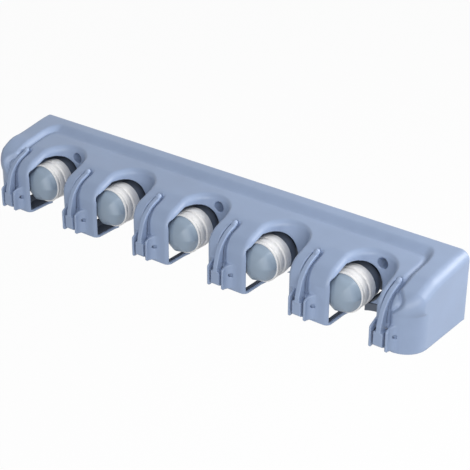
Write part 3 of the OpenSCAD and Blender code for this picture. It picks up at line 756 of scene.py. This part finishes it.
def new_material(name):
    """A new node material, with its node tree and its shader."""
    material = bpy.data.materials.new(name)
    material.use_nodes = True
    tree = material.node_tree
    shader = next(n for n in tree.nodes if n.type == "BSDF_PRINCIPLED")
    return material, tree, shader


def noise(tree, scale, detail, roughness=0.5):
    """Noise over the rack's own coordinates; scale counts its lumps per metre."""
    place = tree.nodes.new("ShaderNodeTexCoord")
    out = tree.nodes.new("ShaderNodeTexNoise")
    out.inputs["Scale"].default_value = scale
    out.inputs["Detail"].default_value = detail
    out.inputs["Roughness"].default_value = roughness
    tree.links.new(place.outputs["Object"], out.inputs["Vector"])
    return out.outputs["Fac"]


def ramp(tree, value, stops):
    """A colour ramp with the given (position, colour) stops."""
    node = tree.nodes.new("ShaderNodeValToRGB")
    elements = node.color_ramp.elements
    while len(elements) < len(stops):
        elements.new(0.5)
    for element, (position, colour) in zip(elements, stops):
        element.position = position
        element.color = (*colour, 1)
    tree.links.new(value, node.inputs["Fac"])
    return node.outputs["Color"]


def mix(tree, fac, a, b):
    """Mixes two colours by a value."""
    node = tree.nodes.new("ShaderNodeMix")
    node.data_type = "RGBA"
    for socket, value in ((node.inputs["Factor"], fac), (node.inputs[6], a), (node.inputs[7], b)):
        if hasattr(value, "is_linked"):
            tree.links.new(value, socket)
        else:
            socket.default_value = (*value, 1) if isinstance(value, tuple) else value
    return node.outputs[2]


def map_range(tree, value, low, high, to_low, to_high):
    """Maps a value from low..high to to_low..to_high."""
    node = tree.nodes.new("ShaderNodeMapRange")
    limits = (("From Min", low), ("From Max", high), ("To Min", to_low), ("To Max", to_high))
    for key, number in limits:
        node.inputs[key].default_value = number
    tree.links.new(value, node.inputs["Value"])
    return node.outputs["Result"]


def bump(tree, shader, heights):
    """Chains bumps from (height, strength, distance in metres) onto the shader's normal."""
    normal = None
    for height, strength, distance in heights:
        node = tree.nodes.new("ShaderNodeBump")
        node.inputs["Strength"].default_value = strength
        node.inputs["Distance"].default_value = distance
        tree.links.new(height, node.inputs["Height"])
        if normal is not None:
            tree.links.new(normal, node.inputs["Normal"])
        normal = node.outputs["Normal"]
    tree.links.new(normal, shader.inputs["Normal"])


def scaled(colour, k):
    """The colour made k times as bright."""
    return tuple(min(1.0, c * k) for c in colour)


def plastic(name, colour, roughness, sheen_spots=0.06, grain=0.00004):
    """Moulded plastic: faint flow marks, fine grain, painted highlight that makes sharp edges paler,
    and dusty patches.
    """
    material, tree, shader = new_material(name)
    flow = noise(tree, 18, 3)
    cloud = noise(tree, 70, 4)
    base = ramp(tree, flow, [(0.3, scaled(colour, 0.965)), (0.7, scaled(colour, 1.03))])
    speck = ramp(tree, cloud, [(0.35, (0.96, 0.96, 0.97)), (0.65, (1, 1, 1))])
    tinted = tree.nodes.new("ShaderNodeMix")
    tinted.data_type = "RGBA"
    tinted.blend_type = "MULTIPLY"
    tinted.inputs["Factor"].default_value = 1
    tree.links.new(base, tinted.inputs[6])
    tree.links.new(speck, tinted.inputs[7])
    geometry = tree.nodes.new("ShaderNodeNewGeometry")
    # painted highlight: sharp convex edges, found by pointiness, are mixed towards a paler copy of
    # the colour
    edge = map_range(tree, geometry.outputs["Pointiness"], 0.52, 0.6, 0, 0.16)
    edge_highlighted = mix(tree, edge, tinted.outputs[2], scaled(colour, 1.35))
    tree.links.new(edge_highlighted, shader.inputs["Base Color"])
    rough = map_range(tree, cloud, 0.3, 0.7, roughness - sheen_spots, roughness + sheen_spots)
    tree.links.new(rough, shader.inputs["Roughness"])
    shader.inputs["IOR"].default_value = 1.48
    bump(tree, shader, [(noise(tree, 2600, 2), 0.12, grain), (flow, 0.08, 0.0004)])
    return material


def rubber(name, colour):
    """Pale grip rubber: soft, with painted shade that darkens its grooves."""
    material, tree, shader = new_material(name)
    patches = noise(tree, 120, 4, 0.6)
    base = ramp(tree, patches, [(0.3, scaled(colour, 0.93)), (0.65, colour)])
    geometry = tree.nodes.new("ShaderNodeNewGeometry")
    # painted shade: hollows such as the grip's grooves, found by pointiness, are mixed towards a
    # darker copy of the colour
    groove_shade = map_range(tree, geometry.outputs["Pointiness"], 0.42, 0.5, 0.35, 0)
    groove_shaded = mix(tree, groove_shade, base, scaled(colour, 0.72))
    tree.links.new(groove_shaded, shader.inputs["Base Color"])
    rough = map_range(tree, patches, 0.3, 0.7, 0.5, 0.66)
    tree.links.new(rough, shader.inputs["Roughness"])
    bump(tree, shader, [(noise(tree, 1800, 3), 0.2, 0.00005)])
    return material


def steel(name, colour, roughness):
    """Turned steel with fine marks round it."""
    material, tree, shader = new_material(name)
    marks = noise(tree, 900, 3)
    base = ramp(tree, marks, [(0.3, scaled(colour, 0.88)), (0.7, colour)])
    tree.links.new(base, shader.inputs["Base Color"])
    shader.inputs["Metallic"].default_value = 1
    rough = map_range(tree, marks, 0.3, 0.7, roughness - 0.07, roughness + 0.07)
    tree.links.new(rough, shader.inputs["Roughness"])
    bump(tree, shader, [(marks, 0.15, 0.00003)])
    return material


BODY_COLOUR = (0.318, 0.405, 0.578)
HOUSING = plastic("housing_plastic", BODY_COLOUR, 0.4)
HOOK = plastic("hook_plastic", scaled(BODY_COLOUR, 1.02), 0.35)
CAP = plastic("cap_plastic", (0.3, 0.38, 0.475), 0.4)
GRIP = rubber("grip_rubber", (0.92, 0.91, 0.9))
# dark drum: partly its own dark plastic, partly painted shade for the shadow it sits in behind the
# grip
DRUM = plastic("drum_plastic", (0.1, 0.12, 0.16), 0.45)
# dark back plate: partly its own colour, partly painted shade for the shadow inside the housing
PLATE = plastic("plate_plastic", (0.11, 0.13, 0.17), 0.55)
STEEL = steel("pin_steel", (0.6, 0.6, 0.62), 0.34)
# darker pin steel: partly steel, partly painted shade for the dark inside of the pin holes
PIN = steel("hook_pin_steel", (0.3, 0.3, 0.32), 0.4)
ZINC = steel("screw_steel", (0.7, 0.7, 0.73), 0.28)


# Pieces

def dress(piece, material, slot, body, *replaced):
    """Gives a piece its material and its body, in place of the CAD nodes; slot is not used."""
    piece.data.materials.clear()
    piece.data.materials.append(material)
    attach(piece, body)
    if replaced:
        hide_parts(*replaced)
    return piece


def paint(node, material):
    """Puts the material on every slot of a CAD node that stays shown."""
    piece = nodes[node]
    if not piece.material_slots:
        piece.data.materials.append(material)
    for slot in piece.material_slots:
        slot.material = material


def make_housing():
    """The moulding in place of its CAD node."""
    step = 0.62
    margin = 1.5
    low = (LEFT_X - margin, EAR_FRONT - margin, -margin)
    high = (RIGHT_X + margin, margin, BODY_H + margin)
    g = Grid(low, high, step)
    field = housing_field(g).astype(np.float32)
    dress(field_piece("housing_moulding", field, g, 0.3), HOUSING,
          "housing_plastic", "rack", "housing")


def make_hooks():
    """Six copies of one folded hook, each at its pin."""
    low = (-ROOT_HALF - 1, ROOT_FRONT - 1, ROOT_LOW - 1)
    high = (ROOT_HALF + 1, KNOB_Y + KNOB_R + 1, HOOK_TOP)
    g = Grid(low, high, HOOK_STEP)
    first = field_piece("hook_1_moulding", hook_field(g).astype(np.float32), g, 0.5)
    pieces = [first]
    for k in range(1, len(HOOK_X)):
        piece = first.copy()
        piece.data = first.data.copy()
        piece.name = f"hook_{k + 1}_moulding"
        bpy.context.scene.collection.objects.link(piece)
        pieces.append(piece)
    for k, (piece, x) in enumerate(zip(pieces, HOOK_X)):
        piece.data.transform(Matrix.Translation((x * MM, 0, 0)))
        dress(piece, HOOK, "hook_plastic", f"hook_arm_{k + 1}", f"hook_{k + 1}")


def make_rollers():
    """Cap, grip and drum of every roller, in place of their CAD nodes."""
    for k, x in enumerate(ROLLER_X):
        body = f"roller_{k + 1}"
        for part, outline, material, slot in (
            ("cap", dome_outline(), CAP, "cap_plastic"),
            ("grip", grip_outline(), GRIP, "grip_rubber"),
            ("drum", drum_outline(), DRUM, "drum_plastic"),
        ):
            flats = CAP_FLATS if part == "cap" else 0
            piece = lathe(f"roller_{part}_{k + 1}_turned", outline, x, GRIP_FRONT, ROLLER_H,
                          flats=flats, flat_share=CAP_FLAT_SHARE)
            dress(piece, material, slot, body, f"roller_{part}_{k + 1}")
        paint(f"roller_spindle_{k + 1}", STEEL)


def box_mesh(name, low, high):
    """A plain block between two corners, in millimetres."""
    xs, ys, zs = zip(low, high)
    corners = [(x, y, z) for x in xs for y in ys for z in zs]
    faces = [(0, 1, 3, 2), (4, 6, 7, 5), (0, 4, 5, 1), (2, 3, 7, 6), (0, 2, 6, 4), (1, 5, 7, 3)]
    mesh = bpy.data.meshes.new(name)
    mesh.from_pydata(to_frame(np.array(corners)).tolist(), [], faces)
    mesh.update()
    piece = bpy.data.objects.new(name, mesh)
    bpy.context.scene.collection.objects.link(piece)
    return piece


def make_shade_blocks():
    """Dark blocks by the back plate's wide ledges, beside the first windows: painted shade that fills
    the view through those windows.
    """
    for i, station in enumerate(STATION_X[:SHADE_BLOCK_COUNT]):
        left = station - NOTCH_R - WALL - LEDGE_GAP - LEDGE_W + SHADE_BLOCK_INSET
        low = (left, LEDGE_FRONT, LEDGE_LOW)
        high = (left + LEDGE_T, LEDGE_BACK, SHADE_BLOCK_H)
        # painted shade: a plain dark block standing in for the shade seen through the window
        shade_block = box_mesh(f"shade_block_{i + 1}", low, high)
        dress(shade_block, PLATE, "plate_plastic", "rack")


# Stage

WORLD_COLOUR = (0.95, 0.97, 1, 1)
WORLD_POWER = 0.28
FLOOR_HALF = 6.0
FLOOR_DROP = 0.3
FLOOR_GLOW = 0.95
LAMPS = (
    ("front", (0.5, -1.28, 0.3), 0.6, 6.8),
    ("right", (1.1, -0.8, 0.5), 0.6, 5.6),
    ("back", (0.89, 0.76, 0.7), 0.8, 17),
)


def make_stage():
    """Floor, soft lamps and camera."""
    floor_mesh = bpy.data.meshes.new("floor")
    half = FLOOR_HALF
    level = cad_box[0].z - FLOOR_DROP
    corners = [(-half, -half, level), (half, -half, level), (half, half, level), (-half, half, level)]
    floor_mesh.from_pydata(corners, [], [(0, 1, 2, 3)])
    floor = bpy.data.objects.new("floor", floor_mesh)
    bpy.context.scene.collection.objects.link(floor)
    floor.data.materials.append(white_when_seen("floor_white", FLOOR_GLOW))
    world = bpy.data.worlds.new("studio")
    bpy.context.scene.world = world
    world.use_nodes = True
    tree = world.node_tree
    light = tree.nodes["Background"]
    light.inputs["Color"].default_value = WORLD_COLOUR
    light.inputs["Strength"].default_value = WORLD_POWER
    seen = tree.nodes.new("ShaderNodeBackground")
    seen.inputs["Color"].default_value = (1, 1, 1, 1)
    seen.inputs["Strength"].default_value = 1
    choose = tree.nodes.new("ShaderNodeMixShader")
    tree.links.new(seen_directly(tree), choose.inputs["Fac"])
    tree.links.new(light.outputs["Background"], choose.inputs[1])
    tree.links.new(seen.outputs["Background"], choose.inputs[2])
    tree.links.new(choose.outputs["Shader"], tree.nodes["World Output"].inputs["Surface"])
    for name, place, size, power in LAMPS:
        lamp(name, place, size, power)
    add_camera()


def seen_directly(tree):
    """1 where the camera, a mirror or glass sees the surface, else 0."""
    path = tree.nodes.new("ShaderNodeLightPath")
    total = None
    for name in ("Is Camera Ray", "Is Glossy Ray", "Is Transmission Ray"):
        if total is None:
            total = path.outputs[name]
            continue
        add = tree.nodes.new("ShaderNodeMath")
        add.operation = "MAXIMUM"
        tree.links.new(total, add.inputs[0])
        tree.links.new(path.outputs[name], add.inputs[1])
        total = add.outputs[0]
    return total


def white_when_seen(name, share):
    """A white floor: part lit, so that it keeps shadows, and part plain white where seen."""
    material, tree, shader = new_material(name)
    seen = seen_directly(tree)
    tree.links.new(mix(tree, seen, (0.3, 0.3, 0.3), (0.9, 0.9, 0.9)), shader.inputs["Base Color"])
    shader.inputs["Roughness"].default_value = 0.9
    shader.inputs["Specular IOR Level"].default_value = 0.1
    glow = tree.nodes.new("ShaderNodeEmission")
    glow.inputs["Color"].default_value = (1, 1, 1, 1)
    scale = tree.nodes.new("ShaderNodeMath")
    scale.operation = "MULTIPLY"
    scale.inputs[1].default_value = share
    tree.links.new(seen, scale.inputs[0])
    choose = tree.nodes.new("ShaderNodeMixShader")
    tree.links.new(scale.outputs[0], choose.inputs["Fac"])
    tree.links.new(shader.outputs["BSDF"], choose.inputs[1])
    tree.links.new(glow.outputs["Emission"], choose.inputs[2])
    tree.links.new(choose.outputs["Shader"], tree.nodes["Material Output"].inputs["Surface"])
    return material


def lamp(name, place, size, power):
    """A square soft box that looks at the rack's middle."""
    data = bpy.data.lights.new(name, "AREA")
    data.shape = "SQUARE"
    data.size = size
    data.energy = power
    light = bpy.data.objects.new(name, data)
    bpy.context.scene.collection.objects.link(light)
    light.location = place
    aim = Vector((0, -0.03, -0.01)) - Vector(place)
    light.rotation_euler = aim.to_track_quat("-Z", "Y").to_euler()


def add_camera():
    """The photograph's view: direction, distance, roll and lens from a fit to the rack's corners."""
    azimuth, elevation, roll = (math.radians(a) for a in (37.07, 27.39, 0.395))
    distance = 1.101
    target = Vector((0.01482, -0.03, -0.0205))
    focal_px = 1408.0
    frame_px = 470.0
    back = Vector((math.sin(azimuth) * math.cos(elevation),
                   -math.cos(azimuth) * math.cos(elevation), math.sin(elevation)))
    right = Vector((math.cos(azimuth), math.sin(azimuth), 0))
    up = back.cross(right)
    right, up = (right * math.cos(roll) + up * math.sin(roll),
                 up * math.cos(roll) - right * math.sin(roll))
    data = bpy.data.cameras.new("camera")
    data.sensor_width = 36.0
    data.lens = focal_px / frame_px * data.sensor_width
    camera = bpy.data.objects.new("camera", data)
    bpy.context.scene.collection.objects.link(camera)
    turn = Matrix((right, up, back)).transposed()
    camera.matrix_world = Matrix.Translation(target + back * distance) @ turn.to_4x4()
    bpy.context.scene.camera = camera


make_housing()
make_hooks()
make_rollers()
make_shade_blocks()
paint("back_plate", PLATE)
paint("plate_screws", ZINC)
for k in range(len(HOOK_X)):
    paint(f"hook_pin_{k + 1}", PIN)
make_stage()
bpy.context.scene.view_settings.view_transform = "Standard"

bpy.context.view_layer.update()
